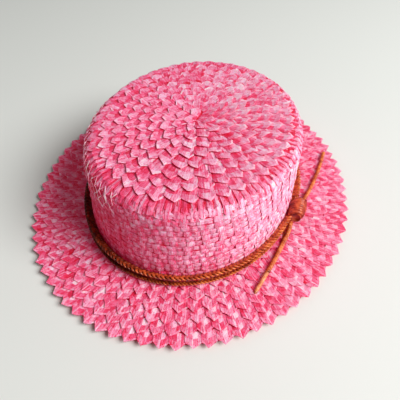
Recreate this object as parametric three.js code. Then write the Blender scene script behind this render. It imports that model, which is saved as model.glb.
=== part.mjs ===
// A sewn straw boater hat on the table, brim down, in millimetres, +Z up.
// Origin: on the crown's axis, at the flat underside of the brim.
// +Y runs along the long way of the head, and the knot of the cord band sits on the +X side.
import * as THREE from "three";

// Crown, measured on its outside. The plan is an oval: half widths run along X, half lengths along Y.
const CROWN_BASE_HALF_WIDTH = 83.5;
const CROWN_BASE_HALF_LENGTH = 102;
const CROWN_TOP_HALF_WIDTH = 79.5;
const CROWN_TOP_HALF_LENGTH = 97;
const CROWN_TOP_Z = 69;
const CROWN_EDGE_RADIUS = 10;
const CROWN_DOME_RISE = 1.5;
const STRAW_WALL = 2.6;

// Brim, a flat oval ring of plait under the crown, with a sawtooth rim.
const BRIM_HALF_WIDTH = 130.8;
const BRIM_HALF_LENGTH = 150;
const BRIM_PLAIT_THICKNESS = 1.9;
const BRIM_ROWS = 6;
const BRIM_TEETH = 80;
const RIM_TOOTH_DEPTH = 3.6;
const ROW_TOOTH_DEPTH = 2.4;

// One row of plait laps over the next by a small step, and its lip slopes out by a little.
const ROW_STEP = 0.9;
const LIP_SLOPE = 0.3;
const SIDE_ROW_STEP = 0.6;
const SIDE_LAP_SHARE = 0.9;
const SIDE_ROWS = 6;
const TIP_ROWS = 9;
const TIP_TEETH = 32;
const TIP_TOOTH_DEPTH = 2.6;

// The sewing starts in the middle of the tip with a short straight run of plait. The first row
// already has this share of the oval's extra length, and this share of the full tooth depth.
const START_LENGTH_SHARE = 0.35;
const START_TOOTH_SHARE = 0.25;

// The inside of the tip is flat within this share of its size.
const ROOF_FLAT_SHARE = 0.3;

// Seam gap between pieces that are sewn or tied together.
const GAP = 0.3;

// The band is two braided leather cords round the foot of the crown, tied on the +X side.
// Both lie closer to the crown by the knot than elsewhere.
const UPPER_CORD = { diameter: 6.4, height: 11.5, outByKnot: 3.5, outAway: 3.7 };
const LOWER_CORD = { diameter: 4.2, height: 5.3, outByKnot: 2.5, outAway: 4.1 };
const BAND_SIDES = 6;
const BAND_STEPS = 52;
const BAND_END_GAP = 0.9;

// The cords come away from the crown over this share of a turn on each side of the knot.
const BAND_SPREAD_TURN = 1 / 6;

// The coil knot that ties the band, its middle line along Y.
const KNOT_HALF_DEPTH = 6.9;
const KNOT_HALF_HEIGHT = 7.2;
const KNOT_LENGTH = 22;
const KNOT_CENTRE_Y = -6;
const KNOT_TURNS = 6;
const KNOT_GROOVE = 0.8;
const KNOT_SIDES = 16;

// The two free ends of the cord, which leave the knot's two ends and lie on the brim.
// Points are x, y, z along the middle of the cord.
const TAIL_DIAMETER = 3.2;
const TAIL_SIDES = 8;
const FRONT_TAIL_ROUTE = [
  [88.8, -17.4, 6.8],
  [88.9, -20.5, 6.6],
  [88.9, -24, 6.1],
  [88.6, -28, 5.5],
  [88.2, -32, 5.0],
  [87.6, -37, 4.8],
  [86.8, -42, 4.8],
  [85.8, -48, 4.8],
  [84.9, -54, 4.8],
  [83.9, -60, 4.8],
  [82.6, -66, 4.8],
  [81.3, -72, 4.8],
  [80.1, -78, 4.8],
  [79.0, -83, 4.8],
  [78.0, -88, 4.8],
];
const BACK_TAIL_ROUTE = [
  [93.2, 5.4, 7.8],
  [93.5, 8, 7.2],
  [94.1, 11.5, 6.3],
  [94.9, 16, 5.5],
  [95.9, 21, 5.0],
  [96.8, 26, 4.8],
  [97.6, 31.5, 4.8],
  [98.4, 38, 4.8],
  [99.1, 45, 4.8],
  [99.7, 51, 4.8],
  [100.1, 57, 4.8],
  [100.4, 63, 4.8],
  [100.7, 69, 4.8],
  [100.8, 75, 4.8],
  [100.8, 81, 4.8],
];
const TAIL_STEPS = 20;

const CROWN_AROUND = 64;
const BRIM_AROUND = 2 * BRIM_TEETH;
const BRIM_TOP = BRIM_PLAIT_THICKNESS + ROW_STEP;

const straw = new THREE.MeshStandardMaterial({ color: 0xf27aa0, roughness: 0.55, metalness: 0 });
const strawBrim = new THREE.MeshStandardMaterial({ color: 0xee6c96, roughness: 0.55, metalness: 0 });
const leather = new THREE.MeshStandardMaterial({ color: 0xb5652f, roughness: 0.45, metalness: 0 });
const knotLeather = new THREE.MeshStandardMaterial({ color: 0xa64a28, roughness: 0.45, metalness: 0 });

const hat = new THREE.Group();

function addPiece(name, geometry, material) {
  const mesh = new THREE.Mesh(geometry, material);
  mesh.name = name;
  hat.add(mesh);
}

function between(first, last, share) {
  return first + (last - first) * share;
}

// A triangle wave of height 1: 1 at a tooth's tip, 0 in the notch.
function toothWave(turn, teeth, stagger) {
  const phase = turn * teeth + stagger;
  const part = phase - Math.floor(phase);
  return 1 - 2 * Math.min(part, 1 - part);
}

// Closed surface swept round the axis. Each ring of the profile says, for a share of a turn,
// where its point lies. The rings either close on the first one or end in the two poles.
function sweptOval(rings, around, poles) {
  const positions = [];
  for (const ring of rings) {
    for (let i = 0; i < around; i += 1) {
      positions.push(...ring(i / around));
    }
  }
  const index = [];
  const quads = poles ? rings.length - 1 : rings.length;
  for (let r = 0; r < quads; r += 1) {
    const next = (r + 1) % rings.length;
    for (let i = 0; i < around; i += 1) {
      const j = (i + 1) % around;
      const a = r * around + i;
      const b = r * around + j;
      const c = next * around + j;
      const d = next * around + i;
      index.push(a, c, b, a, d, c);
    }
  }
  if (poles) {
    for (const [ring, pole, first] of [[0, poles[0], true], [rings.length - 1, poles[1], false]]) {
      const centre = positions.length / 3;
      positions.push(...pole);
      for (let i = 0; i < around; i += 1) {
        const a = ring * around + i;
        const b = ring * around + ((i + 1) % around);
        index.push(...(first ? [centre, a, b] : [centre, b, a]));
      }
    }
  }
  const geometry = new THREE.BufferGeometry();
  geometry.setAttribute("position", new THREE.Float32BufferAttribute(positions, 3));
  geometry.setIndex(index);
  return geometry;
}

// An oval ring of given half sizes and height, with an optional row of teeth along its edge.
function ovalRing(halfWidth, halfLength, z, teeth = 0, depth = 0, stagger = 0) {
  return (turn) => {
    const angle = 2 * Math.PI * turn;
    const grow = teeth > 0 ? depth * (toothWave(turn, teeth, stagger) - 0.5) : 0;
    return [(halfWidth + grow) * Math.cos(angle), (halfLength + grow) * Math.sin(angle), z];
  };
}

// Profile of the crown's outside: the rows of the tip, the rounded edge, then the rows of the
// side down to the brim. Each row has a lip and the step under it.
function crownOuter() {
  const rings = [];
  const flatWidth = CROWN_TOP_HALF_WIDTH - CROWN_EDGE_RADIUS;
  const flatLength = CROWN_TOP_HALF_LENGTH - CROWN_EDGE_RADIUS;
  const lengthExtra = flatLength - flatWidth;
  for (let row = 1; row <= TIP_ROWS; row += 1) {
    const share = row / TIP_ROWS;
    const width = flatWidth * share;
    const length = width + lengthExtra * (START_LENGTH_SHARE + (1 - START_LENGTH_SHARE) * share);
    const z = CROWN_TOP_Z + CROWN_DOME_RISE * (1 - share * share);
    const depth = TIP_TOOTH_DEPTH * Math.min(1, START_TOOTH_SHARE + share);
    const stagger = 0.5 * (row % 2);
    rings.push(ovalRing(width, length, z, TIP_TEETH, depth, stagger));
    const footWidth = width + LIP_SLOPE;
    const footLength = length + LIP_SLOPE;
    rings.push(ovalRing(footWidth, footLength, z - ROW_STEP, TIP_TEETH, depth, stagger));
  }
  for (const degrees of [30, 60]) {
    const angle = THREE.MathUtils.degToRad(degrees);
    const out = CROWN_EDGE_RADIUS * Math.sin(angle);
    const z = CROWN_TOP_Z - ROW_STEP - CROWN_EDGE_RADIUS * (1 - Math.cos(angle));
    rings.push(ovalRing(flatWidth + out, flatLength + out, z));
  }
  const sideTop = CROWN_TOP_Z - CROWN_EDGE_RADIUS;
  const sideFoot = BRIM_TOP + GAP;
  for (let row = 0; row < SIDE_ROWS; row += 1) {
    for (const [lap, step] of [[0, -SIDE_ROW_STEP], [SIDE_LAP_SHARE, 0]]) {
      const share = (row + lap) / SIDE_ROWS;
      const width = between(CROWN_TOP_HALF_WIDTH, CROWN_BASE_HALF_WIDTH, share);
      const length = between(CROWN_TOP_HALF_LENGTH, CROWN_BASE_HALF_LENGTH, share);
      rings.push(ovalRing(width + step, length + step, between(sideTop, sideFoot, share)));
    }
  }
  rings.push(ovalRing(CROWN_BASE_HALF_WIDTH, CROWN_BASE_HALF_LENGTH, sideFoot));
  return rings;
}

// The same profile one wall further in, from the foot up and in to the middle of the tip.
function crownInner() {
  const rings = [];
  const wall = STRAW_WALL + ROW_STEP;
  const sideTop = CROWN_TOP_Z - CROWN_EDGE_RADIUS;
  const innerTop = CROWN_TOP_Z - wall;
  rings.push(ovalRing(CROWN_BASE_HALF_WIDTH - wall, CROWN_BASE_HALF_LENGTH - wall, BRIM_TOP + GAP));
  rings.push(ovalRing(CROWN_TOP_HALF_WIDTH - wall, CROWN_TOP_HALF_LENGTH - wall, sideTop));
  const radius = CROWN_EDGE_RADIUS - wall;
  for (const degrees of [45, 90]) {
    const angle = THREE.MathUtils.degToRad(degrees);
    const inset = wall + radius * (1 - Math.cos(angle));
    const z = innerTop - radius * (1 - Math.sin(angle));
    rings.push(ovalRing(CROWN_TOP_HALF_WIDTH - inset, CROWN_TOP_HALF_LENGTH - inset, z));
  }
  const flatWidth = ROOF_FLAT_SHARE * CROWN_TOP_HALF_WIDTH;
  const flatLength = ROOF_FLAT_SHARE * CROWN_TOP_HALF_LENGTH;
  rings.push(ovalRing(flatWidth, flatLength, innerTop));
  return rings;
}

function crownGeometry() {
  const tip = [0, 0, CROWN_TOP_Z + CROWN_DOME_RISE];
  const roof = [0, 0, CROWN_TOP_Z - STRAW_WALL - ROW_STEP];
  return sweptOval([...crownOuter(), ...crownInner()], CROWN_AROUND, [tip, roof]);
}

// Each row of the brim rises to its toothed lip, then steps down to the next row out.
function brimGeometry() {
  const rings = [];
  const insideWidth = CROWN_BASE_HALF_WIDTH - STRAW_WALL - ROW_STEP;
  const insideLength = CROWN_BASE_HALF_LENGTH - STRAW_WALL - ROW_STEP;
  rings.push(ovalRing(insideWidth, insideLength, 0));
  rings.push(ovalRing(insideWidth, insideLength, BRIM_TOP));
  for (let row = 1; row <= BRIM_ROWS; row += 1) {
    const share = row / BRIM_ROWS;
    const width = between(CROWN_BASE_HALF_WIDTH, BRIM_HALF_WIDTH, share);
    const length = between(CROWN_BASE_HALF_LENGTH, BRIM_HALF_LENGTH, share);
    const depth = row === BRIM_ROWS ? RIM_TOOTH_DEPTH : ROW_TOOTH_DEPTH;
    const stagger = 0.5 * (row % 2);
    rings.push(ovalRing(width, length, BRIM_TOP, BRIM_TEETH, depth, stagger));
    if (row < BRIM_ROWS) {
      const footWidth = width + LIP_SLOPE;
      const footLength = length + LIP_SLOPE;
      rings.push(ovalRing(footWidth, footLength, BRIM_PLAIT_THICKNESS, BRIM_TEETH, depth, stagger));
    } else {
      rings.push(ovalRing(width, length, 0, BRIM_TEETH, depth, stagger));
    }
  }
  return sweptOval(rings, BRIM_AROUND, null);
}

// Sections with the same number of points, joined in order and closed with a flat cap at each end.
function cappedSweep(sections) {
  const positions = sections.flat(2);
  const sides = sections[0].length;
  const index = [];
  for (let k = 0; k < sections.length - 1; k += 1) {
    for (let i = 0; i < sides; i += 1) {
      const j = (i + 1) % sides;
      const a = k * sides + i;
      const b = k * sides + j;
      const c = (k + 1) * sides + j;
      const d = (k + 1) * sides + i;
      index.push(a, b, c, a, c, d);
    }
  }
  const last = (sections.length - 1) * sides;
  for (let i = 1; i < sides - 1; i += 1) {
    index.push(0, i + 1, i);
    index.push(last, last + i, last + i + 1);
  }
  const geometry = new THREE.BufferGeometry();
  geometry.setAttribute("position", new THREE.Float32BufferAttribute(positions, 3));
  geometry.setIndex(index);
  return geometry;
}

// The share of a turn at which the foot of the crown has a given y, on the +X side.
function turnAtY(y) {
  return Math.asin(y / CROWN_BASE_HALF_LENGTH) / (2 * Math.PI);
}

// A cord laid round the foot of the crown, from one end of the knot the long way to the other.
function bandCordGeometry(cord) {
  const knotHalf = KNOT_LENGTH / 2 + BAND_END_GAP;
  const start = turnAtY(KNOT_CENTRE_Y + knotHalf);
  const end = 1 + turnAtY(KNOT_CENTRE_Y - knotHalf);
  const sections = [];
  for (let step = 0; step <= BAND_STEPS; step += 1) {
    const turn = start + ((end - start) * step) / BAND_STEPS;
    const fromKnot = THREE.MathUtils.clamp(Math.min(turn, 1 - turn) / BAND_SPREAD_TURN, 0, 1);
    const out = between(cord.outByKnot, cord.outAway, fromKnot);
    const section = [];
    for (let side = 0; side < BAND_SIDES; side += 1) {
      const angle = (2 * Math.PI * side) / BAND_SIDES;
      const grow = out + (cord.diameter / 2) * Math.cos(angle);
      const z = cord.height + (cord.diameter / 2) * Math.sin(angle);
      section.push(ovalRing(CROWN_BASE_HALF_WIDTH + grow, CROWN_BASE_HALF_LENGTH + grow, z)(turn));
    }
    sections.push(section.reverse());
  }
  return cappedSweep(sections);
}

// The coil knot: a barrel with a groove between one turn of cord and the next.
function knotGeometry() {
  const sections = [];
  const centreX = CROWN_BASE_HALF_WIDTH + GAP + KNOT_HALF_DEPTH;
  const centreZ = BRIM_TOP + GAP + KNOT_HALF_HEIGHT;
  const rings = 2 * KNOT_TURNS;
  for (let k = 0; k <= rings; k += 1) {
    const share = k / rings;
    const inGroove = k % 2 === 0;
    const atEnd = k === 0 || k === rings;
    const inset = atEnd ? 2 * KNOT_GROOVE : inGroove ? KNOT_GROOVE : 0;
    const y = KNOT_CENTRE_Y + KNOT_LENGTH * (share - 0.5);
    const section = [];
    for (let side = 0; side < KNOT_SIDES; side += 1) {
      const angle = (2 * Math.PI * side) / KNOT_SIDES;
      const x = centreX + (KNOT_HALF_DEPTH - inset) * Math.cos(angle);
      const z = centreZ + (KNOT_HALF_HEIGHT - inset) * Math.sin(angle);
      section.push([x, y, z]);
    }
    sections.push(section.reverse());
  }
  return cappedSweep(sections);
}

// A free end of cord, a round section carried along its route.
function tailGeometry(route) {
  const section = new THREE.Shape();
  for (let side = 0; side < TAIL_SIDES; side += 1) {
    const angle = (2 * Math.PI * side) / TAIL_SIDES;
    const x = (TAIL_DIAMETER / 2) * Math.cos(angle);
    const y = (TAIL_DIAMETER / 2) * Math.sin(angle);
    if (side === 0) {
      section.moveTo(x, y);
    } else {
      section.lineTo(x, y);
    }
  }
  section.closePath();
  const path = new THREE.CatmullRomCurve3(route.map((point) => new THREE.Vector3(...point)));
  return new THREE.ExtrudeGeometry(section, { steps: TAIL_STEPS, extrudePath: path });
}

addPiece("crown", crownGeometry(), straw);
addPiece("brim", brimGeometry(), strawBrim);
addPiece("band_cord_upper", bandCordGeometry(UPPER_CORD), leather);
addPiece("band_cord_lower", bandCordGeometry(LOWER_CORD), leather);
addPiece("band_knot", knotGeometry(), knotLeather);
addPiece("cord_tail_front", tailGeometry(FRONT_TAIL_ROUTE), leather);
addPiece("cord_tail_back", tailGeometry(BACK_TAIL_ROUTE), leather);

export default hat;
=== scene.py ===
# %% [markdown]
# # A pink straw boater with a leather cord band
# The hat is sewn from one long plait of folded straw. The plait starts in the middle of the tip,
# goes round and round over the edge and down the crown, and then out over the brim. On the tip and
# the brim only the toothed half of each row shows, like the scales of a fish. On the side of the
# crown the rows are pressed flat, so the basket weave of the plait shows instead.
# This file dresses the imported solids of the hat. Lengths are in metres, and +Z is up.

# %% Load the frame
import math

import bpy
import numpy as np
from mathutils import Matrix, Vector


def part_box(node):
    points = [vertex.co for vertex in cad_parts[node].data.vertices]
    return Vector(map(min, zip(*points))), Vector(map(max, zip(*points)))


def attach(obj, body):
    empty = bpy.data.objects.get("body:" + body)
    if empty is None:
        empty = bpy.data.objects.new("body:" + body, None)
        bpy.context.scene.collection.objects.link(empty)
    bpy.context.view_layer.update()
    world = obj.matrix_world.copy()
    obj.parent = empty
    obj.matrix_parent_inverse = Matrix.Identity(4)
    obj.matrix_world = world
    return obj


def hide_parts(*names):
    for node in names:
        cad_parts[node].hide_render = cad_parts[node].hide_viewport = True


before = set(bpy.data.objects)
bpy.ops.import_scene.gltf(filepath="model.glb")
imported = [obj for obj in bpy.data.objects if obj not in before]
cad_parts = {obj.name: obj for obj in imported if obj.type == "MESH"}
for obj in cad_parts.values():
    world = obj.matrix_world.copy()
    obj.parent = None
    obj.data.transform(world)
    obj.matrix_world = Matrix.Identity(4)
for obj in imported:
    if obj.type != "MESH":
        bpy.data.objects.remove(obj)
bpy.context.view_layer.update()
MM = 0.001
print("solids:", sorted(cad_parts))

# %% [markdown]
# The camera comes first, because what lies in its view decides where loose cord may go. It stands
# close to the hat, a little to the right of its front, and looks down at about 49 degrees. A lens
# this wide and this near makes the front of the brim look large and the back small.

# %% Camera
CAMERA_AZIMUTH = 19.58
CAMERA_ELEVATION = 48.64
CAMERA_ROLL = 2.11
CAMERA_DISTANCE = 0.320
CAMERA_SIDE_STEP = 0.0039
CAMERA_DROP = 0.0165
CAMERA_LIFT = 0.0015
FOCAL_PIXELS = 355.4
IMAGE_PIXELS = 400
SENSOR = 36.0
NEAREST_SEEN = 0.01


def turned_axes(azimuth, elevation, roll):
    """Right, up and back of a view in degrees. back = (sin a cos e, -cos a cos e, sin e)."""
    a, e, r = (math.radians(x) for x in (azimuth, elevation, roll))
    back = Vector((math.sin(a) * math.cos(e), -math.cos(a) * math.cos(e), math.sin(e)))
    right = Vector((math.cos(a), math.sin(a), 0))
    up = back.cross(right)
    rolled_right = math.cos(r) * right + math.sin(r) * up
    rolled_up = math.cos(r) * up - math.sin(r) * right
    return right, up, rolled_right, rolled_up, back


def add_camera():
    """A pinhole view: the distance along the view axis, then small steps sideways, down and up."""
    right, up, rolled_right, rolled_up, back = turned_axes(
        CAMERA_AZIMUTH, CAMERA_ELEVATION, CAMERA_ROLL)
    place = back * CAMERA_DISTANCE + right * CAMERA_SIDE_STEP - up * CAMERA_DROP
    place = place + Vector((0, 0, CAMERA_LIFT))
    data = bpy.data.cameras.new("view")
    data.sensor_width = SENSOR
    data.lens = FOCAL_PIXELS / IMAGE_PIXELS * SENSOR
    data.clip_start = NEAREST_SEEN
    camera = bpy.data.objects.new("view", data)
    turn = Matrix((rolled_right, rolled_up, back)).transposed()
    camera.matrix_world = Matrix.Translation(place) @ turn.to_4x4()
    bpy.context.scene.collection.objects.link(camera)
    bpy.context.scene.camera = camera
    return camera


camera = add_camera()
print("camera at", [round(x, 3) for x in camera.matrix_world.translation])

# %% [markdown]
# Every piece below is worked out as whole arrays of points. These two helpers put such arrays into
# a mesh. A grid of points gives a grid of four-sided faces, which can wrap round in one direction
# to make a tube or a ring.

# %% Helpers for meshes


def grid_quads(rows, columns, wrap=False):
    """Faces of a grid of rows x columns points, counted row by row. wrap joins the last column."""
    index = np.arange(rows * columns).reshape(rows, columns)
    if wrap:
        index = np.concatenate([index, index[:, :1]], axis=1)
    corners = [index[:-1, :-1], index[:-1, 1:], index[1:, 1:], index[1:, :-1]]
    return np.stack(corners, axis=-1).reshape(-1, 4)


def mesh_piece(name, points, quads, material, layers=None, smooth=False):
    """A mesh object from points (n, 3) and faces (m, 4). A layer holds a value per point or face."""
    mesh = bpy.data.meshes.new(name)
    points = np.asarray(points, np.float32).reshape(-1, 3)
    quads = np.asarray(quads, np.int32)
    mesh.vertices.add(len(points))
    mesh.vertices.foreach_set("co", points.ravel())
    mesh.loops.add(quads.size)
    mesh.loops.foreach_set("vertex_index", quads.ravel())
    mesh.polygons.add(len(quads))
    mesh.polygons.foreach_set("loop_start", np.arange(0, quads.size, 4, dtype=np.int32))
    mesh.update(calc_edges=True)
    for layer, values in (layers or {}).items():
        values = np.asarray(values, np.float32)
        kind, key = ("FLOAT_VECTOR", "vector") if values.ndim == 2 else ("FLOAT", "value")
        domain = "FACE" if len(values) == len(quads) else "POINT"
        mesh.attributes.new(layer, kind, domain).data.foreach_set(key, values.ravel())
    mesh.materials.append(material)
    mesh.polygons.foreach_set("use_smooth", np.full(len(quads), smooth))
    mesh.update()
    piece = bpy.data.objects.new(name, mesh)
    bpy.context.scene.collection.objects.link(piece)
    print(f"{name}: {len(points)} points, {len(quads)} faces")
    return piece


# %% [markdown]
# A material is a small net of nodes. These helpers add the nodes that both the leather and the
# straw need: a smooth noise, a value moved from one range to another, a sum, and a colour ramp.

# %% Helpers for materials


def linear(red, green, blue):
    """A colour given as screen values from 0 to 255, turned into the linear values a shader needs."""
    screen = np.array([red, green, blue]) / 255
    value = np.where(screen <= 0.04045, screen / 12.92, ((screen + 0.055) / 1.055) ** 2.4)
    return (*value.tolist(), 1.0)


class Nodes:
    """A small writer for node trees: add a node, set its values, link its inputs."""

    def __init__(self, material):
        material.use_nodes = True
        self.tree = material.node_tree
        self.tree.nodes.clear()

    def add(self, kind, links=None, **values):
        """A new node. links names its sockets, each with a value or with another node's output."""
        node = self.tree.nodes.new(kind)
        for key, value in values.items():
            setattr(node, key, value)
        for socket, source in (links or {}).items():
            target = node.inputs[socket]
            if isinstance(source, bpy.types.NodeSocket):
                self.tree.links.new(source, target)
            else:
                target.default_value = source
        return node


def ramp(nodes, factor, stops):
    """A colour ramp through (place, colour) stops."""
    node = nodes.add("ShaderNodeValToRGB", {"Fac": factor})
    while len(node.color_ramp.elements) < len(stops):
        node.color_ramp.elements.new(0.5)
    for element, (place, colour) in zip(node.color_ramp.elements, stops):
        element.position = place
        element.color = colour
    return node.outputs["Color"]


def noise(nodes, place, scale, detail):
    """A smooth random value about 0.5. It changes once in about 1 / scale of the place's unit."""
    links = {"Vector": place, "Scale": scale, "Detail": detail}
    return nodes.add("ShaderNodeTexNoise", links).outputs["Fac"]


def moved(nodes, value, source, target):
    """A value moved in proportion from the range source to the range target, and held at its ends."""
    links = {"Value": value, "From Min": source[0], "From Max": source[1],
             "To Min": target[0], "To Max": target[1]}
    return nodes.add("ShaderNodeMapRange", links).outputs["Result"]


def total(nodes, first, second):
    """The sum of two values."""
    return nodes.add("ShaderNodeMath", {0: first, 1: second}, operation="ADD").outputs["Value"]


# %% [markdown]
# The leather of the cords is tan, with a satin shine. Its colour drifts a little along the cord, and
# its fine grain shows as a soft bump. Object coordinates are enough for that, because the grain has
# no direction. The photo's left is in shade, more than the lamp below gives, so the leather is made
# darker towards -X. That part is painted shade: it is no property of leather, and it stays when the
# hat is turned. The knot's leather is redder. The glued end's is paler, partly as painted highlight
# for the sheen of its smooth tip.

# %% Leather
DRIFT_SCALE = 260.0
GRAIN_SCALE = 2600.0
GRAIN_HEIGHT = 0.0002
LEATHER_GLOSS = 0.55
SHADED_PART = (-0.09, 0.06)
SHADED_TONE = (-0.42, 0.03)
LEATHER_STOPS = (0.05, 0.30, 0.50, 0.72)
WHOLE = (0.0, 1.0)


def leather(name, roughness, *colours):
    """Four colours, from the deepest, by a slow noise. Bump and roughness follow a fine noise."""
    material = bpy.data.materials.new(name)
    nodes = Nodes(material)
    place = nodes.add("ShaderNodeTexCoord").outputs["Object"]
    drift = noise(nodes, place, DRIFT_SCALE, 3.0)
    grain = noise(nodes, place, GRAIN_SCALE, 4.0)
    across_hat = nodes.add("ShaderNodeSeparateXYZ", {"Vector": place}).outputs["X"]
    shaded = moved(nodes, across_hat, SHADED_PART, SHADED_TONE)
    colour = ramp(nodes, total(nodes, drift, shaded), list(zip(LEATHER_STOPS, colours)))
    rough = moved(nodes, grain, WHOLE, (roughness - 0.1, roughness + 0.14))
    bump = nodes.add("ShaderNodeBump", {"Height": grain, "Strength": 0.35, "Distance": GRAIN_HEIGHT})
    shader = nodes.add("ShaderNodeBsdfPrincipled", {
        "Base Color": colour, "Roughness": rough, "Normal": bump.outputs["Normal"],
        "Specular IOR Level": LEATHER_GLOSS})
    nodes.add("ShaderNodeOutputMaterial", {"Surface": shader.outputs["BSDF"]})
    return material


tan_leather = leather("tan_leather", 0.28, linear(70, 24, 16), linear(142, 60, 30),
                      linear(194, 96, 50), linear(232, 146, 84))
knot_leather = leather("knot_leather", 0.30, linear(92, 28, 18), linear(120, 36, 24),
                       linear(164, 62, 40), linear(208, 108, 70))
# Painted highlight: the glued end's leather is made paler, partly for the sheen on its smooth tip.
pale_and_sheen_leather = leather("pale_and_sheen_leather", 0.22, linear(104, 46, 28), linear(168, 88, 50),
                       linear(214, 138, 92), linear(240, 186, 142))
print("leathers:", [material.name for material in (tan_leather, knot_leather, pale_and_sheen_leather)])

# %% [markdown]
# A cord is a path with strands round it. The two free ends lie on the brim where the knot lets
# them go, and each is a three-strand braid. The points of each route are the middle of the cord,
# the same as in the solids. In a braid each strand swings from side to side once per repeat and
# dives under the others twice per repeat, a third of a repeat behind its neighbour.

# %% Paths, tubes and braids
FRONT_TAIL_ROUTE = [
    (0.0888, -0.0174, 0.0068), (0.0889, -0.0205, 0.0066), (0.0889, -0.0240, 0.0061),
    (0.0886, -0.0280, 0.0055), (0.0882, -0.0320, 0.0050), (0.0876, -0.0370, 0.0048),
    (0.0868, -0.0420, 0.0048), (0.0858, -0.0480, 0.0048), (0.0849, -0.0540, 0.0048),
    (0.0839, -0.0600, 0.0048), (0.0826, -0.0660, 0.0048), (0.0813, -0.0720, 0.0048),
    (0.0801, -0.0780, 0.0048), (0.0790, -0.0830, 0.0048), (0.0780, -0.0880, 0.0048),
]
BACK_TAIL_ROUTE = [
    (0.0932, 0.0054, 0.0078), (0.0935, 0.0080, 0.0072), (0.0941, 0.0115, 0.0063),
    (0.0949, 0.0160, 0.0055), (0.0959, 0.0210, 0.0050), (0.0968, 0.0260, 0.0048),
    (0.0976, 0.0315, 0.0048), (0.0984, 0.0380, 0.0048), (0.0991, 0.0450, 0.0048),
    (0.0997, 0.0510, 0.0048), (0.1001, 0.0570, 0.0048), (0.1004, 0.0630, 0.0048),
    (0.1007, 0.0690, 0.0048), (0.1008, 0.0750, 0.0048), (0.1008, 0.0810, 0.0048),
]
TAIL_DIAMETER = 0.0032


def smooth_path(route, steps):
    """Points at even steps along a smooth curve through the route, and its length.

    Between two points of the route the curve is a cubic. It leaves each point in the direction of
    the line that joins that point's two neighbours.
    """
    knots = np.asarray(route, float)
    padded = np.vstack([2 * knots[0] - knots[1], knots, 2 * knots[-1] - knots[-2]])
    share = np.linspace(0, len(knots) - 1 - 1e-9, 40 * len(knots))
    first = share.astype(int)
    t = (share - first)[:, None]
    a, b, c, d = (padded[first + k] for k in range(4))
    curve = 0.5 * (2 * b + (c - a) * t + (2 * a - 5 * b + 4 * c - d) * t**2
                   + (3 * b - 3 * c + d - a) * t**3)
    run = np.concatenate([[0], np.cumsum(np.linalg.norm(np.diff(curve, axis=0), axis=1))])
    even = np.linspace(0, run[-1], steps)
    return np.stack([np.interp(even, run, curve[:, k]) for k in range(3)], axis=1), run[-1]


def path_axes(path, up=(0, 0, 1)):
    """Sideways = forward x up, and over = sideways x forward, along a path that never follows up."""
    forward = np.gradient(path, axis=0)
    forward /= np.linalg.norm(forward, axis=1, keepdims=True)
    side = np.cross(forward, np.asarray(up, float))
    side /= np.linalg.norm(side, axis=1, keepdims=True)
    return side, np.cross(side, forward)


def tube(path, half_width, half_height, sides, up=(0, 0, 1)):
    """An ellipse of the given half sizes carried along the path, with both ends closed flat."""
    path = np.asarray(path, float)
    count = len(path)
    half_width = np.broadcast_to(half_width, count)
    half_height = np.broadcast_to(half_height, count)
    side, over = path_axes(path, up)
    angle = np.linspace(0, 2 * np.pi, sides, endpoint=False)[None, :]
    across = (half_width[:, None] * np.cos(angle))[..., None]
    above = (half_height[:, None] * np.sin(angle))[..., None]
    points = path[:, None] + side[:, None] * across + over[:, None] * above
    quads = grid_quads(count, sides, wrap=True)
    ends = []
    for first, flip in ((0, 1), ((count - 1) * sides, -1)):
        for k in range(1, sides // 2):
            cap = [first + k - 1, first + k, first + sides - 1 - k, first + sides - k]
            ends.append(cap[::flip])
    return points.reshape(-1, 3), np.vstack([quads, ends])


def join(parts):
    """Several (points, quads) pairs as one."""
    points, quads, start = [], [], 0
    for part_points, part_quads in parts:
        points.append(part_points)
        quads.append(part_quads + start)
        start += len(part_points)
    return np.vstack(points), np.vstack(quads)


STRANDS = 3
STRAND_SIDES = 8


def braid(path, width, strand, repeat, depth_share, tilt=0.0, flat=0.82):
    """Strands swing by sin(w) across the cord and dive by sin(2 w) through it.

    w goes round once per repeat, and each strand is a third of that behind the one before. strand is
    half its width, and flat its height over its width. tilt turns the whole braid round its path.
    """
    path = np.asarray(path, float)
    step = np.linalg.norm(np.diff(path, axis=0), axis=1)
    run = np.concatenate([[0], np.cumsum(step)])
    side, over = path_axes(path)
    across = side * math.cos(tilt) + over * math.sin(tilt)
    through = over * math.cos(tilt) - side * math.sin(tilt)
    swing = width / 2 - strand
    made = []
    for k in range(STRANDS):
        phase = 2 * np.pi * (run / repeat + k / STRANDS)
        centre = path + across * (swing * np.sin(phase))[:, None]
        centre = centre + through * (swing * depth_share * np.sin(2 * phase))[:, None]
        made.append(tube(centre, strand, strand * flat, STRAND_SIDES, up=through))
    return join(made)


# %% [markdown]
# The free ends: the braid stops short of the tip of the front one, where the strands are glued
# into one smooth rod of a paler leather, whose paleness is partly painted highlight. Braid and rod
# are one piece, because they are one cord.

# %% Free ends of the cord
BRAID_REPEAT = 0.0068
TAIL_STRAND = 0.00118
TAIL_WIDTH = TAIL_DIAMETER * 1.1
TAIL_DEPTH_SHARE = 0.8
TAIL_STEP = 0.0007
GLUED_END = 0.020
ROD_TAPER = (0.97, 0.87)
ROD_TIP = (0.94, 0.80, 0.45)
ROD_FLAT = 0.92
ROD_SIDES = 12


def glued_rod(path, length, glued):
    """The last part of a cord as one smooth rod, a little thinner towards its tip."""
    rod = path[np.linspace(0, length, len(path)) >= length - glued]
    half = TAIL_DIAMETER / 2 * np.linspace(*ROD_TAPER, len(rod))
    half[-len(ROD_TIP):] *= ROD_TIP
    return tube(rod, half, half * ROD_FLAT, ROD_SIDES)


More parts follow.
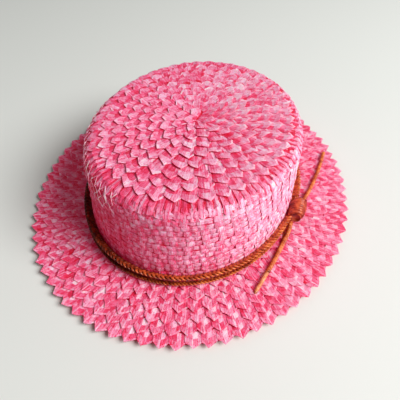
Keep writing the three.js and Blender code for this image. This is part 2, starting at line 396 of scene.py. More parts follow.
def free_end(name, route, glued):
    """A braid along the route. With glued above 0 the last part is a rod of paler leather."""
    straight = sum(math.dist(a, b) for a, b in zip(route, route[1:]))
    path, length = smooth_path(route, round(straight / TAIL_STEP))
    run = np.linspace(0, length, len(path))
    braided = path[run <= length - glued + TAIL_STEP]
    parts = [braid(braided, TAIL_WIDTH, TAIL_STRAND, BRAID_REPEAT, TAIL_DEPTH_SHARE)]
    if glued > 0:
        parts.append(glued_rod(path, length, glued))
    points, quads = join(parts)
    piece = mesh_piece(name, points, quads, tan_leather, smooth=True)
    piece.data.materials.append(pale_and_sheen_leather)
    is_rod = np.arange(len(quads)) >= len(parts[0][1])
    piece.data.polygons.foreach_set("material_index", is_rod.astype(np.int32))
    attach(piece, "root")
    return piece, path, length


front_tail, front_path, front_length = free_end("cord_tail_front_braid", FRONT_TAIL_ROUTE, GLUED_END)
back_tail, back_path, back_length = free_end("cord_tail_back_braid", BACK_TAIL_ROUTE, 0.0)
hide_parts("cord_tail_front")
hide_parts("cord_tail_back")

# %% [markdown]
# One ply has sprung loose from the front end by the knot, and rejoins it further down. It is a thin
# flat tube along a route of its own.

# %% Loose ply
PLY_HALF_WIDTH = 0.00062
PLY_HALF_HEIGHT = 0.0005
PLY_STEPS = 50
PLY_SIDES = 8
LOOSE_PLY_ROUTE = [
    (0.0872, -0.0174, 0.0062), (0.0862, -0.0225, 0.0050), (0.0858, -0.0285, 0.0043),
    (0.0859, -0.0340, 0.0040), (0.0861, -0.0390, 0.0042), (0.0863, -0.0430, 0.0047),
]
ply_path, ply_length = smooth_path(LOOSE_PLY_ROUTE, PLY_STEPS)
ply_points, ply_quads = tube(ply_path, PLY_HALF_WIDTH, PLY_HALF_HEIGHT, PLY_SIDES)
loose_ply = mesh_piece("cord_loose_ply", ply_points, ply_quads, knot_leather, smooth=True)
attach(loose_ply, "root")

print(f"free ends: front {front_length / MM:.1f} mm, back {back_length / MM:.1f} mm")
print(f"loose ply: {ply_length / MM:.1f} mm")

# %% [markdown]
# The plan of the hat is an oval. A point of the crown is given by a share of a turn round the axis
# and by a run, the way along its profile from the middle of the tip, over the rounded edge and
# down the side. The profile says how wide and long the oval is there, how high it lies and which
# way the surface faces, so that scales can be laid on it and lifted off it.

# %% Profile of the crown
crown_low, crown_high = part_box("crown")
_, brim_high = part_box("brim")
FOOT_WIDTH, FOOT_LENGTH = crown_high.x, crown_high.y
TOP_WIDTH, TOP_LENGTH = 0.0795, 0.0970
EDGE_RADIUS = 0.010
DOME_RISE = 0.0015
START_LENGTH_SHARE = 0.35
TIP_LEAN = 0.03
SIDE_FACING = (0.998, 0.07)
TIP_Z = crown_high.z - DOME_RISE
FOOT_Z = crown_low.z
BRIM_TOP = brim_high.z

FLAT_WIDTH = TOP_WIDTH - EDGE_RADIUS
FLAT_LENGTH = TOP_LENGTH - EDGE_RADIUS
EDGE_ARC = EDGE_RADIUS * math.pi / 2
SIDE_TOP_Z = TIP_Z - EDGE_RADIUS
SIDE_RUN = SIDE_TOP_Z - FOOT_Z
RUN_EDGE = FLAT_WIDTH
RUN_SIDE = RUN_EDGE + EDGE_ARC
RUN_FOOT = RUN_SIDE + SIDE_RUN


def crown_profile():
    """Tip: flat, a little domed. Edge: a quarter circle. Side: straight, leaning out downwards."""
    tip = np.linspace(0, 1, 24)
    bend = np.linspace(0, np.pi / 2, 14)[1:]
    down = np.linspace(0, 1, 20)[1:]
    run = np.concatenate([tip * RUN_EDGE, RUN_EDGE + EDGE_RADIUS * bend, RUN_SIDE + SIDE_RUN * down])
    width = np.concatenate([tip * FLAT_WIDTH, FLAT_WIDTH + EDGE_RADIUS * np.sin(bend),
                            TOP_WIDTH + (FOOT_WIDTH - TOP_WIDTH) * down])
    middle = START_LENGTH_SHARE + (1 - START_LENGTH_SHARE) * tip
    tip_length = tip * FLAT_WIDTH + (FLAT_LENGTH - FLAT_WIDTH) * middle
    length = np.concatenate([tip_length, FLAT_LENGTH + EDGE_RADIUS * np.sin(bend),
                             TOP_LENGTH + (FOOT_LENGTH - TOP_LENGTH) * down])
    height = np.concatenate([TIP_Z + DOME_RISE * (1 - tip**2), TIP_Z - EDGE_RADIUS * (1 - np.cos(bend)),
                             SIDE_TOP_Z - SIDE_RUN * down])
    out = np.concatenate([TIP_LEAN * tip, np.sin(bend), np.full(len(down), SIDE_FACING[0])])
    facing_up = np.concatenate([np.ones(len(tip)), np.cos(bend), np.full(len(down), SIDE_FACING[1])])
    return run, width, length, height, out, facing_up


CROWN = crown_profile()


def on_crown(turn, run, lift=0.0):
    """The oval point at this turn and run, moved by lift along the direction the surface faces."""
    width, length, height, out, facing_up = (np.interp(run, CROWN[0], column) for column in CROWN[1:])
    angle = 2 * np.pi * turn
    return np.stack([(width + lift * out) * np.cos(angle), (length + lift * out) * np.sin(angle),
                     height + lift * facing_up], axis=-1)


RIM_WIDTH, RIM_LENGTH = 0.1308, 0.1500
BRIM_RUN = RIM_WIDTH - FOOT_WIDTH


def on_brim(turn, run, lift=0.0):
    """The flat oval ring: run 0 is the foot of the crown and BRIM_RUN the rim, lift is upwards."""
    share = run / BRIM_RUN
    angle = 2 * np.pi * turn
    width = FOOT_WIDTH + (RIM_WIDTH - FOOT_WIDTH) * share
    length = FOOT_LENGTH + (RIM_LENGTH - FOOT_LENGTH) * share
    return np.stack([width * np.cos(angle), length * np.sin(angle),
                     BRIM_TOP + lift + 0 * share], axis=-1)


def oval_speed(place, turn, run):
    """How many metres one whole turn would cover at the pace it has at this point."""
    step = 0.0001
    run = run + 0 * turn
    gap = place(turn + step, run) - place(turn - step, run)
    return np.linalg.norm(gap, axis=-1) / (2 * step)


print(f"run: edge {RUN_EDGE / MM:.1f}, side {RUN_SIDE / MM:.1f}, foot {RUN_FOOT / MM:.1f} mm")

# %% [markdown]
# The straw is a stiff, glossy fibre, dyed pink before plaiting. The dye took unevenly: some strands
# came out nearly white and some deep rose, and each strand has fine streaks along its length. The
# geometry hands two values to this material. tone says how pale a face of a fold is, and fibre
# counts metres across and along the strand, so that the streaks follow every fold.
#
# Thin straw lets some light through, which turns the shadows between folds crimson instead of
# black. Scattering under the surface gives a part of that, and a faint red emission stands in for
# the rest: no light is really carried through the wall. The photo's left is in shade and its right
# is washed out, more than the lamp below gives. So the tone also goes from deeper at -X to paler at
# +X. The emission and this change of tone stand in for light, are no property of straw, and stay
# when the hat is turned.

# %% Straw
BROAD_STREAK = (1000.0, 110.0, 1.0)
FINE_STREAK = (3200.0, 260.0, 1.0)
SPECK = (1500.0, 800.0, 1.0)
BLOTCH_SCALE = 240.0
MIDDLE_PART = (0.3, 0.7)
SPECK_PART = (0.61, 0.67)
SPECK_TONE = (0.0, -0.38)
# Painted shade: the straw's tone is lowered towards -X of the hat.
STRAW_SHADE_PART = (-0.10, 0.10)
STRAW_SHADE_TONE = (-0.24, 0.01)
STREAK_HEIGHT = 0.0003
STRAW_STOPS = (0.02, 0.36, 0.70, 1.0)
STRAW_ROUGHNESS = 0.50
STRAW_GLOSS = 0.45
STRAW_GLOW = 0.35
GLOW_DEPTH = 0.0022
GLOW_REACH = (1.0, 0.18, 0.3)
SHINE_COLOUR = (1.0, 0.0, 0.14, 1.0)
SHINE_THROUGH = 0.045


def stretched(nodes, fibre, factors):
    """fibre times factors: a noise on this is drawn out along the strand."""
    links = {0: fibre, 1: factors}
    return nodes.add("ShaderNodeVectorMath", links, operation="MULTIPLY").outputs["Vector"]


def straw(name, *colours):
    """Four colours, from the deepest, by tone plus specks, streaks and blotches."""
    material = bpy.data.materials.new(name)
    nodes = Nodes(material)
    tone = nodes.add("ShaderNodeAttribute", attribute_name="tone").outputs["Fac"]
    fibre = nodes.add("ShaderNodeAttribute", attribute_name="fibre").outputs["Vector"]
    place = nodes.add("ShaderNodeTexCoord").outputs["Object"]
    broad = noise(nodes, stretched(nodes, fibre, BROAD_STREAK), 1.0, 2.0)
    fine = noise(nodes, stretched(nodes, fibre, FINE_STREAK), 1.0, 2.0)
    speck = noise(nodes, stretched(nodes, fibre, SPECK), 1.0, 1.0)
    blotch = noise(nodes, place, BLOTCH_SCALE, 2.0)
    specked = total(nodes, moved(nodes, broad, MIDDLE_PART, (-0.14, 0.14)),
                    moved(nodes, speck, SPECK_PART, SPECK_TONE))
    streaks = total(nodes, specked, moved(nodes, fine, MIDDLE_PART, (-0.1, 0.1)))
    drift = total(nodes, streaks, moved(nodes, blotch, MIDDLE_PART, (-0.1, 0.1)))
    across_hat = nodes.add("ShaderNodeSeparateXYZ", {"Vector": place}).outputs["X"]
    # Painted shade: the tone of each face, lowered towards -X of the hat.
    faded = total(nodes, moved(nodes, across_hat, STRAW_SHADE_PART, STRAW_SHADE_TONE), tone)
    colour = ramp(nodes, total(nodes, drift, faded), list(zip(STRAW_STOPS, colours)))
    rough = moved(nodes, blotch, WHOLE, (STRAW_ROUGHNESS - 0.12, STRAW_ROUGHNESS + 0.14))
    bump = nodes.add("ShaderNodeBump", {"Height": streaks, "Strength": 0.6, "Distance": STREAK_HEIGHT})
    shader = nodes.add("ShaderNodeBsdfPrincipled", {
        "Base Color": colour, "Roughness": rough, "Normal": bump.outputs["Normal"],
        "Specular IOR Level": STRAW_GLOSS, "Subsurface Weight": STRAW_GLOW,
        "Subsurface Radius": GLOW_REACH, "Subsurface Scale": GLOW_DEPTH,
        "Emission Color": SHINE_COLOUR, "Emission Strength": SHINE_THROUGH})
    nodes.add("ShaderNodeOutputMaterial", {"Surface": shader.outputs["BSDF"]})
    return material


pink_straw = straw("pink_straw", linear(214, 2, 42), linear(233, 86, 128), linear(243, 174, 200),
                   linear(248, 218, 228))
print("straw:", len(pink_straw.node_tree.nodes), "nodes")

# %% [markdown]
# One fold of the plait is a flat strand bent over its neighbours. It is made as one small closed
# sheet of straw: a grid of a few points for its upper side, the same grid again just below, and
# walls between them. The tables give the grid row by row, from the part hidden under the row above
# down to the hem. across runs from 0 at the left to 1 at the right, down from 0 at the hem of the
# row above to 1 at its own, and lift is the height in millimetres. The hem stands more than a
# millimetre proud of the row below. The right edge dips a little under the next fold. pale is the
# tone of each face. It is higher on the ridge, along the hem and in the notch at the upper right,
# which is painted highlight. It is lower at the upper left, under the hem of the row above, which is
# painted shade.
# BAR and the two cells are flatter folds of the same kind, for the side and the inside.

# %% Folds of the plait
STRAND_THICKNESS = 0.0003

BRIM_FOLD = {
    "across": [(0.00, 0.18, 0.38, 0.45, 0.76, 1.04),
               (0.00, 0.18, 0.38, 0.46, 0.74, 1.04),
               (0.00, 0.20, 0.39, 0.46, 0.75, 1.04),
               (0.00, 0.21, 0.41, 0.46, 0.76, 1.04)],
    "down": [(-0.30, -0.30, -0.30, -0.30, -0.30, -0.30),
             (0.10, 0.26, 0.38, 0.40, 0.26, 0.06),
             (0.42, 0.70, 0.96, 0.97, 0.72, 0.46),
             (0.56, 0.84, 1.12, 1.12, 0.90, 0.64)],
    "lift": [(0.05, 0.15, 0.25, 0.20, 0.00, -0.05),
             (0.38, 0.50, 0.76, 0.70, 0.32, 0.08),
             (0.94, 1.12, 1.52, 1.46, 0.90, 0.52),
             (1.16, 1.32, 1.70, 1.66, 1.24, 0.76)],
    "pale": [(0.40, 0.48, 0.62, 0.84, 0.60),
             (0.57, 0.63, 0.80, 0.56, 0.50),
             (0.55, 0.63, 0.80, 0.65, 0.70)],
}
TIP_FOLD = {
    "across": [(0.00, 0.24, 0.50, 0.78, 1.04),
               (0.00, 0.24, 0.48, 0.76, 1.04),
               (0.00, 0.22, 0.46, 0.76, 1.04),
               (0.00, 0.22, 0.47, 0.72, 1.04)],
    "down": [(-0.30, -0.30, -0.30, -0.30, -0.30),
             (0.20, 0.30, 0.38, 0.36, 0.20),
             (0.46, 0.62, 0.79, 0.88, 0.56),
             (0.62, 0.80, 0.98, 1.14, 0.75)],
    "lift": [(0.00, 0.10, 0.15, 0.05, -0.05),
             (0.38, 0.54, 0.66, 0.46, 0.16),
             (0.94, 1.16, 1.30, 1.08, 0.64),
             (1.14, 1.38, 1.52, 1.34, 0.86)],
    "pale": [(0.40, 0.46, 0.54, 0.74),
             (0.58, 0.66, 0.74, 0.62),
             (0.58, 0.68, 0.82, 0.84)],
}
BAR = {
    "across": [(0.04, 0.30, 0.66, 0.93), (0.04, 0.30, 0.68, 0.92), (0.05, 0.30, 0.68, 0.90)],
    "down": [(-0.30, -0.30, -0.30, -0.30), (0.45, 0.50, 0.50, 0.45), (0.90, 1.00, 1.02, 0.94)],
    "lift": [(0.10, 0.20, 0.20, 0.00), (0.60, 0.90, 0.85, 0.30), (0.70, 1.00, 0.95, 0.35)],
    "pale": [(0.46, 0.62, 0.52), (0.44, 0.64, 0.52)],
}
UPRIGHT_CELL = {
    "across": [(0.00, 0.30, 0.70, 0.99), (0.01, 0.30, 0.70, 0.99), (0.01, 0.30, 0.70, 0.99),
               (0.00, 0.30, 0.70, 0.99)],
    "down": [(0.00, -0.03, -0.03, 0.00), (0.30, 0.28, 0.28, 0.30), (0.72, 0.74, 0.74, 0.72),
             (0.98, 1.01, 1.01, 0.98)],
    "lift": [(0.15, 0.30, 0.20, -0.10), (0.60, 0.80, 0.66, 0.20), (0.60, 0.78, 0.64, 0.20),
             (0.20, 0.35, 0.20, -0.10)],
    "pale": [(0.52, 0.58, 0.51), (0.56, 0.63, 0.54), (0.52, 0.57, 0.48)],
}
LEVEL_CELL = {
    "across": [(-0.05, 0.30, 0.70, 1.05), (-0.05, 0.30, 0.70, 1.05), (-0.05, 0.30, 0.70, 1.05),
               (-0.05, 0.30, 0.70, 1.05)],
    "down": [(0.06, 0.02, 0.02, 0.06), (0.32, 0.30, 0.30, 0.32), (0.70, 0.72, 0.72, 0.70),
             (0.95, 0.97, 0.97, 0.95)],
    "lift": [(-0.05, 0.25, 0.25, -0.10), (0.05, 0.50, 0.48, -0.05), (0.05, 0.48, 0.46, -0.05),
             (-0.10, 0.15, 0.15, -0.15)],
    "pale": [(0.54, 0.64, 0.56), (0.53, 0.60, 0.55), (0.47, 0.54, 0.50)],
}


def sheet_quads(rows, columns):
    """Faces of one closed sheet: the upper grid, the grid below seen from beneath, and the walls."""
    top = grid_quads(rows, columns)
    index = np.arange(rows * columns).reshape(rows, columns)
    edge = np.concatenate([index[0], index[1:, -1], index[-1, -2::-1], index[-2:0:-1, 0]])
    following = np.roll(edge, -1)
    below = rows * columns
    walls = np.stack([edge, edge + below, following + below, following], axis=1)
    return np.vstack([top[:, ::-1], top + below, walls[:, ::-1]]), len(top)


POINT_SHAKE = {"across": 0.022, "down": 0.028, "lift": 0.07}
FOLD_SHAKE = {"across": 0.03, "down": 0.03, "lean": 0.16}
SIDE_EDGE_SHARE = 0.3
NEAREST_RUN = 0.0004
PALE_ONES = 0.05
# Painted shade: the undersides of the folds get a deep tone, and their edge walls a tone lower than
# their faces.
UNDERSIDE_SHADE_TONE = 0.15
EDGE_SHADE_STEP = 0.1
FIBRE_JUMP = 9


def lay_folds(place, turns, spans, run_at, height, fold, seed,
              wobble=1.0, mottle=0.065, crosswise=False, fade=0.0):
    """Folds laid on place(turn, run, lift), all at once.

    A point of a fold lies at turn + across * span and at run + down * height. Each fold leans a
    little, and its points and tones are shaken by small random steps, wobble and mottle times as
    large. The last argument times the cosine of the turn is added to the tone. It is painted light on
    one side of the hat and painted shade on the other, like the straw's tone across the hat.
    """
    own = np.random.default_rng(seed)
    count = len(turns)
    table = np.array([fold["across"], fold["down"], fold["lift"]], float)
    rows, columns = table.shape[1:]
    across, down, lift = (np.broadcast_to(layer, (count, rows, columns)).copy() for layer in table)
    inner = np.ones((rows, columns))
    inner[:, (0, -1)] = SIDE_EDGE_SHARE
    across += inner * own.normal(0, POINT_SHAKE["across"] * wobble, across.shape)
    across[:, :, 1:-1] += own.normal(0, FOLD_SHAKE["across"] * wobble, (count, 1, 1))
    down += (own.normal(0, POINT_SHAKE["down"] * wobble, down.shape)
             + own.normal(0, FOLD_SHAKE["down"] * wobble, (count, 1, 1)))
    lift += own.normal(0, POINT_SHAKE["lift"] * wobble, lift.shape)
    lean = own.normal(0, FOLD_SHAKE["lean"] * wobble, (2, count, 1, 1))
    lift += lean[0] * (across - 0.5) + lean[1] * down
    turn = turns[:, None, None] + across * spans[:, None, None]
    run = np.maximum(run_at(turn) + down * height, NEAREST_RUN)
    top = place(turn, run, lift * MM)
    bottom = place(turn, run, lift * MM - STRAND_THICKNESS)
    points = np.stack([top, bottom], axis=1).reshape(-1, 3)

    one_sheet, faces = sheet_quads(rows, columns)
    size = 2 * rows * columns
    quads = (one_sheet[None] + (np.arange(count) * size)[:, None, None]).reshape(-1, 4)
    # The tones of the tables hold painted highlight on the ridge, hem and notch, and painted shade
    # under the row above.
    pale = np.broadcast_to(np.array(fold["pale"], float).reshape(-1), (count, faces))
    pale = pale + own.normal(0, mottle, (count, faces)) + own.normal(0, 0.7 * mottle, (count, 1))
    pale = pale + np.where(own.random((count, 1)) < PALE_ONES, 2 * mottle, 0.0)
    # Painted light and shade: the tone is raised on one side of the hat and lowered on the other.
    pale = pale + fade * np.cos(2 * np.pi * turns)[:, None]
    wall = pale.mean(axis=1, keepdims=True) - EDGE_SHADE_STEP
    walls = np.broadcast_to(wall, (count, len(one_sheet) - 2 * faces))
    tone = np.concatenate([pale, 0 * pale + UNDERSIDE_SHADE_TONE, walls], axis=1).reshape(-1)

    width = spans[:, None, None] * oval_speed(place, turn, run)
    sideways = across * width + own.random((count, 1, 1)) * FIBRE_JUMP
    lengthways = down * height + own.random((count, 1, 1)) * FIBRE_JUMP
    if crosswise:
        sideways, lengthways = lengthways, sideways
    fibre = np.stack([sideways, lengthways, 0 * across], axis=-1)
    fibre = np.stack([fibre, fibre], axis=1).reshape(-1, 3)
    return points, quads, tone, fibre


def join_layers(parts):
    """Several (points, quads, tone, fibre) sets as one."""
    points, quads = join([part[:2] for part in parts])
    return points, quads, np.concatenate([p[2] for p in parts]), np.vstack([p[3] for p in parts])


def straw_piece(name, node, parts):
    """One piece of straw from all its sheets. It stands in for the solid of that name."""
    points, quads, tone, fibre = join_layers(parts)
    piece = mesh_piece(name, points, quads[:, ::-1], pink_straw, {"tone": tone, "fibre": fibre})
    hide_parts(node)
    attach(piece, "root")
    return piece


# %% [markdown]
# The tip is one spiral. Walking along it and setting a fold every eleven millimetres gives the
# places of the folds: the length walked per turn is known, so turns at equal steps of length are
# found by looking up the walked length backwards. The last turn hangs a little over the rounded
# edge of the crown.

# %% Tip and edge folds
TIP_PITCH = 0.0110
TIP_ROW = 0.0084
TIP_OFFSET = 0.0035
EDGE_COVER = 0.0064
FIRST_TURN = 0.30
SPIRAL_MARKS = 12000
WALKED_SHARE = 0.8
LEAST_RUN = 0.002


def spiral_run(turn):
    """The upper edge of a row: turn less one, times the row's height, and a small step outwards."""
    return TIP_ROW * (turn - 1) + TIP_OFFSET


def along_spiral(first, last, pitch, run_at, place):
    """Turns at equal steps of length along a spiral, and the share of a turn each step takes."""
    fine = np.linspace(first, last, SPIRAL_MARKS)
    speed = oval_speed(place, fine, np.maximum(run_at(fine) + WALKED_SHARE * TIP_ROW, LEAST_RUN))
    walked = np.concatenate([[0], np.cumsum((speed[1:] + speed[:-1]) / 2 * np.diff(fine))])
    count = round(walked[-1] / pitch)
    marks = np.interp(np.linspace(0, walked[-1], count + 1), walked, fine)
    return marks[:-1], np.diff(marks)


LAST_TURN = (RUN_EDGE + EDGE_COVER - TIP_OFFSET) / TIP_ROW
tip_turns, tip_spans = along_spiral(FIRST_TURN, LAST_TURN, TIP_PITCH, spiral_run, on_crown)
tip_folds = lay_folds(on_crown, tip_turns, tip_spans, spiral_run, TIP_ROW, TIP_FOLD, 11)
print(f"tip: {LAST_TURN:.1f} turns, {len(tip_turns)} folds")

# %% [markdown]
# Down the side the plait was pressed flat on a block. It shows a basket weave: strands pass over
# and under each other in turn. Where a strand lies across, its streaks run round the hat, and in
# the next cell they run up and down. Each row of plait holds two rows of cells. The uppermost row
# is drawn over the edge, so its strands stand upright as narrow bars.

# %% Side cells
CELL_WIDTH = 0.0056
CELL_HEIGHT = 0.0047
BAR_HEIGHT = 0.0105
BAR_WIDTH = 0.0052
WEAVE_TUCK = 0.0005


def ring(place, run, height, width, folds, seed, **style):
    """One ring of folds, the upper edge of which lies at this run. The kinds of fold take turns."""
    own = np.random.default_rng(seed)
    around = float(np.mean(oval_speed(place, np.linspace(0, 1, 60), run)))
    count = len(folds) * round(around / width / len(folds))
    turns = (np.arange(count) + own.random()) / count
    spans = np.full(count // len(folds), 1 / count)
    made = []
    for k, fold in enumerate(folds):
        made.append(lay_folds(place, turns[k::len(folds)], spans, lambda turn: run + 0 * turn,
                              height, fold, seed + 1000 * k, crosswise=k > 0, **style))
    return made


def rings(place, first, last, height, width, folds, seed, **style):
    """Rings of folds one below the other."""
    count = round((last - first) / height)
    step = (last - first) / count
    made = []
    for k in range(count):
        made += ring(place, first + step * k, step, width, folds, seed + k, **style)
    return join_layers(made)


WEAVE = (UPRIGHT_CELL, LEVEL_CELL)
bar_turns, bar_spans = along_spiral(LAST_TURN, LAST_TURN + 1, BAR_WIDTH, spiral_run, on_crown)
bars = lay_folds(on_crown, bar_turns, bar_spans, spiral_run, BAR_HEIGHT, BAR, 201, wobble=1.6)
WEAVE_TOP = RUN_EDGE + EDGE_COVER - WEAVE_TUCK
# Painted light towards +X of the side and painted shade towards -X.
side_weave = rings(on_crown, WEAVE_TOP, RUN_FOOT, CELL_HEIGHT, CELL_WIDTH, WEAVE, 23,
                   wobble=1.3, mottle=0.06, fade=0.17)
print(f"side: {len(bar_turns)} bars, {len(side_weave[1])} faces of weave")

# %% [markdown]
# At the left of the edge the plait has frayed: thin pale strands have sprung out of the upright
# bars and cross over them in a loose zigzag. Each is a narrow slanting sheet, lying just above the
# bars. How many there are, and exactly where, is made up.

# %% Sprung strands
SPRUNG_FROM, SPRUNG_TO, SPRUNG_COUNT = 0.49, 0.70, 20
SPRUNG_HEIGHT = 0.0078
SPRUNG_STARTS = (0.0060, 0.0125)
SPRUNG_RIGHT = {
    "across": [(0.00, 0.10), (0.50, 0.61), (1.00, 1.10)],
    "down": [(0.00, 0.02), (0.50, 0.52), (1.00, 1.02)],
    "lift": [(1.00, 1.00), (1.70, 1.70), (1.10, 1.10)],
    "pale": [(1.04,), (1.00,)],
}
SPRUNG_LEFT = {
    "across": [(1.00, 1.10), (0.50, 0.61), (0.00, 0.10)],
    "down": [(0.02, 0.00), (0.52, 0.50), (1.02, 1.00)],
    "lift": [(1.00, 1.00), (1.85, 1.85), (1.10, 1.10)],
    "pale": [(0.96,), (0.92,)],
}


def sprung_strands():
    """Two rows of slanting strands on the edge, leaning right and left in turn."""
    turns = np.linspace(SPRUNG_FROM, SPRUNG_TO, SPRUNG_COUNT)
    spans = np.full(SPRUNG_COUNT, (SPRUNG_TO - SPRUNG_FROM) / SPRUNG_COUNT)
    made = []
    for row, start in enumerate(SPRUNG_STARTS):
        for side, fold in enumerate((SPRUNG_RIGHT, SPRUNG_LEFT)):
            made.append(lay_folds(on_crown, turns, spans, lambda turn: RUN_EDGE + start + 0 * turn,
                                  SPRUNG_HEIGHT, fold, 501 + 10 * row + side, wobble=2.4, mottle=0.12))
    return join_layers(made)


sprung = sprung_strands()
print(f"sprung strands: {len(SPRUNG_STARTS) * 2 * SPRUNG_COUNT}")

# %% [markdown]
# Under the folds lies the body of the plait, a closed shell. Its inner face carries the flat side
# of the plait, which shows when the hat is turned over: rings of the same woven cells. They are a
# little larger than outside, which keeps the whole piece under 200,000 triangles.

# %% Crown shell and lining side
SHELL_SINK = 0.0002
SHELL_THICKNESS = 0.0022
SHELL_AROUND = 120
INNER_CELL = 1.3
# Painted shade: the shell shows mostly in the gaps between folds, and its deep tone darkens them.
SHELL_SHADE_TONE = 0.2
FIBRE_PER_TURN = 0.55


def shell(place, runs_down, sink, thickness):
    """The surface sunk by sink and, back up, a second one thickness below it: a ring of a wall."""
    turn = np.linspace(0, 1, SHELL_AROUND, endpoint=False)
    run = np.concatenate([runs_down, runs_down[::-1]])[:, None] + 0 * turn[None, :]
    outside = np.full(len(runs_down), -sink)
    lift = np.concatenate([outside, outside - thickness])[:, None] + 0 * run
    points = place(turn[None, :] + 0 * run, run, lift)
    fibre = np.stack([run, turn[None, :] * FIBRE_PER_TURN + 0 * run, 0 * run], axis=-1)
    quads = grid_quads(len(run), SHELL_AROUND, wrap=True)
    return points.reshape(-1, 3), quads, np.full(len(quads), SHELL_SHADE_TONE), fibre.reshape(-1, 3)


def close_poles(part):
    """Close the two pin-prick holes of a shell at its middle with four-sided faces."""
    points, quads, _, fibre = part
    last = len(points) - SHELL_AROUND
    k = np.arange(1, SHELL_AROUND // 2)
    outer = np.stack([k - 1, k, SHELL_AROUND - 1 - k, SHELL_AROUND - k], axis=1)
    inner = (outer + last)[:, ::-1]
    quads = np.vstack([quads, outer, inner])
    return points, quads, np.full(len(quads), SHELL_SHADE_TONE), fibre


def close_ring(part):
    """Join the last line of points of a shell to its first, so that the ring is closed."""
    points, quads, _, fibre = part
    k = np.arange(SHELL_AROUND)
    following = (k + 1) % SHELL_AROUND
    last = len(points) - SHELL_AROUND
    seam = np.stack([last + k, last + following, following, k], axis=1)
    quads = np.vstack([quads, seam])
    return points, quads, np.full(len(quads), SHELL_SHADE_TONE), fibre


def flipped(part):
    """The same sheets seen from the other side."""
    points, quads, tone, fibre = part
    return points, quads[:, ::-1], tone, fibre


def inside_crown(turn, run, lift=0.0):
    """The inner face of the crown shell, where lift leads into the hat."""
    return on_crown(turn, run, -SHELL_SINK - SHELL_THICKNESS - lift)


crown_runs = np.concatenate([np.linspace(0.0002, RUN_EDGE, 14),
                             np.linspace(RUN_EDGE, RUN_FOOT, 26)[1:]])
crown_shell = close_poles(shell(on_crown, crown_runs, SHELL_SINK, SHELL_THICKNESS))
inner_weave = flipped(rings(inside_crown, 0.0030, RUN_FOOT - 0.001, INNER_CELL * CELL_HEIGHT,
                            INNER_CELL * CELL_WIDTH, WEAVE, 301, wobble=1.2))
crown_straw = straw_piece("crown_straw", "crown", [
    crown_shell, tip_folds, bars, sprung, side_weave, inner_weave])

# %% [markdown]
# The brim has six rows. Their folds are a little wider, and the outer row hangs over as the
# saw-toothed rim. Underneath, the brim shows the flat side of the plait.

# %% Brim
BRIM_PITCH = 0.0106
BRIM_ROW_COUNT = 6
BRIM_ROW = (BRIM_RUN - 0.0002) / BRIM_ROW_COUNT
BRIM_SHELL_SINK = 0.0008
BRIM_SHELL_THICKNESS = 0.0012
BRIM_SHELL_SHORT = 0.0040
UNDER_WEAVE_SHORT = 0.003
FLOOR_GAP = 0.0001


def under_brim(turn, run, lift=0.0):
    """The under face of the brim shell, where lift leads down, but never as far as the floor."""
    depth = BRIM_SHELL_SINK + BRIM_SHELL_THICKNESS + lift
    return on_brim(turn, run, -np.minimum(depth, BRIM_TOP - FLOOR_GAP))


brim_runs = np.linspace(0.0, BRIM_RUN - BRIM_SHELL_SHORT, 14)
brim_shell = close_ring(shell(on_brim, brim_runs, BRIM_SHELL_SINK, BRIM_SHELL_THICKNESS))
# Painted shade towards +X of the brim and painted light towards -X.
brim_folds = rings(on_brim, 0.0, BRIM_ROW * BRIM_ROW_COUNT, BRIM_ROW, BRIM_PITCH, (BRIM_FOLD,), 41,
                   fade=-0.09)
under_weave = flipped(rings(under_brim, 0.0, BRIM_RUN - UNDER_WEAVE_SHORT, CELL_HEIGHT, CELL_WIDTH,
                            WEAVE, 401))
brim_straw = straw_piece("brim_straw", "brim", [brim_shell, brim_folds, under_weave])

# %% [markdown]
# The band is two flat braids lying round the foot of the crown, the thicker one above. They meet on
# the right, where the knot grips them and draws them in. Each is leaned back by its tilt, so that
# its broad face looks out and up. The braids stop just short of the two ends of the knot.

# %% Band
KNOT_REACH = 1 / 6
KNOT_ENDS = (-0.0179, 0.0059)
BAND_STEPS = 1400
BAND_DEPTH_SHARE = 0.30
BAND_FLAT = 0.5
UPPER_CORD = {"height": 0.0115, "out_by_knot": 0.0035, "out_away": 0.0037, "width": 0.0082,
              "strand": 0.00140, "repeat": 0.0096, "tilt": 46}
LOWER_CORD = {"height": 0.0053, "out_by_knot": 0.0025, "out_away": 0.0041, "width": 0.0060,
              "strand": 0.00105, "repeat": 0.0078, "tilt": 40}


def band_path(height, out_by_knot, out_away):
    """The crown's oval at this height, moved out: least at the knot, in full a sixth of a turn on."""
    turn = np.linspace(0, 1, BAND_STEPS, endpoint=False)
    from_knot = np.abs((turn + 0.5) % 1 - 0.5)
    ease = np.clip(from_knot / KNOT_REACH, 0, 1)
    ease = ease * ease * (3 - 2 * ease)
    out = out_by_knot + (out_away - out_by_knot) * ease
    share = (SIDE_TOP_Z - height) / (SIDE_TOP_Z - FOOT_Z)
    width = TOP_WIDTH + (FOOT_WIDTH - TOP_WIDTH) * share + out
    length = TOP_LENGTH + (FOOT_LENGTH - TOP_LENGTH) * share + out
    angle = 2 * np.pi * turn
    path = np.stack([width * np.cos(angle), length * np.sin(angle), height + 0 * turn], axis=1)
    beside = (path[:, 0] > 0) & (path[:, 1] > KNOT_ENDS[0]) & (path[:, 1] < KNOT_ENDS[1])
    start = int(np.argmax(np.roll(beside, 1) & ~beside))
    return np.roll(path, -start, axis=0)[~np.roll(beside, -start)]


def band_cord(name, node, height, out_by_knot, out_away, width, strand, repeat, tilt):
    """One cord of the band: a flat braid along its path. tilt is in degrees."""
    path = band_path(height, out_by_knot, out_away)
    points, quads = braid(path, width, strand, repeat, BAND_DEPTH_SHARE, math.radians(tilt), BAND_FLAT)
    piece = mesh_piece(name, points, quads, tan_leather, smooth=True)
    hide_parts(node)
    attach(piece, "root")
    return piece


